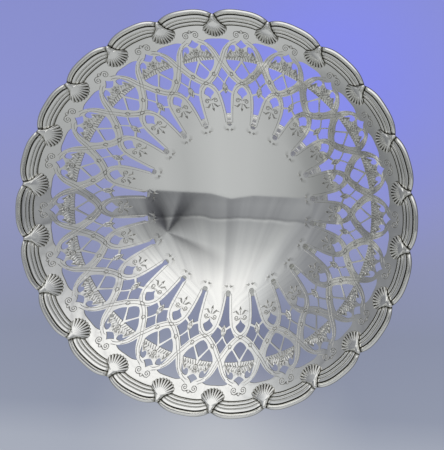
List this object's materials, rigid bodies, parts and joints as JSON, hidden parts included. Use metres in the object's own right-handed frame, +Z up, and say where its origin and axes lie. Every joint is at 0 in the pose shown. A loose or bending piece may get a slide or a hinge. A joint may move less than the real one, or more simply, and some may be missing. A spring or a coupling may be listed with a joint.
{
  "type": "tazza",
  "caption": "Shallow footed dish with a pierced strapwork gallery, a plain well, a lobed reeded border with cast shells, and a low spreading foot.",
  "frame": {"origin": "centre of the circle on which the foot stands, on the table surface", "axes": "+Z up along the bowl's axis; +X through the crest of a lobe; +Y through a shell"},
  "size_m": [0.2636, 0.262, 0.0825],
  "materials": {
    "bowl_silver": "polished sterling silver sheet, raised, saw pierced and bright-cut engraved",
    "cast_silver": "polished cast silver with darker recesses",
    "foot_silver": "polished spun silver"
  },
  "bodies": {
    "root": {"pierced_bowl": "bowl_silver", "border_length_01": "cast_silver", "border_length_02": "cast_silver", "border_length_03": "cast_silver", "border_length_04": "cast_silver", "border_length_05": "cast_silver", "border_length_06": "cast_silver", "border_length_07": "cast_silver", "border_length_08": "cast_silver", "border_length_09": "cast_silver", "border_length_10": "cast_silver", "border_length_11": "cast_silver", "border_length_12": "cast_silver", "border_length_13": "cast_silver", "border_length_14": "cast_silver", "border_length_15": "cast_silver", "border_length_16": "cast_silver", "border_length_17": "cast_silver", "border_length_18": "cast_silver", "border_length_19": "cast_silver", "border_length_20": "cast_silver", "border_length_21": "cast_silver", "border_length_22": "cast_silver", "rim_shell_01": "cast_silver", "rim_shell_02": "cast_silver", "rim_shell_03": "cast_silver", "rim_shell_04": "cast_silver", "rim_shell_05": "cast_silver", "rim_shell_06": "cast_silver", "rim_shell_07": "cast_silver", "rim_shell_08": "cast_silver", "rim_shell_09": "cast_silver", "rim_shell_10": "cast_silver", "rim_shell_11": "cast_silver", "rim_shell_12": "cast_silver", "rim_shell_13": "cast_silver", "rim_shell_14": "cast_silver", "rim_shell_15": "cast_silver", "rim_shell_16": "cast_silver", "rim_shell_17": "cast_silver", "rim_shell_18": "cast_silver", "rim_shell_19": "cast_silver", "rim_shell_20": "cast_silver", "rim_shell_21": "cast_silver", "rim_shell_22": "cast_silver", "foot_cove": "foot_silver", "foot_wire": "foot_silver"}
  },
  "joints": []
}
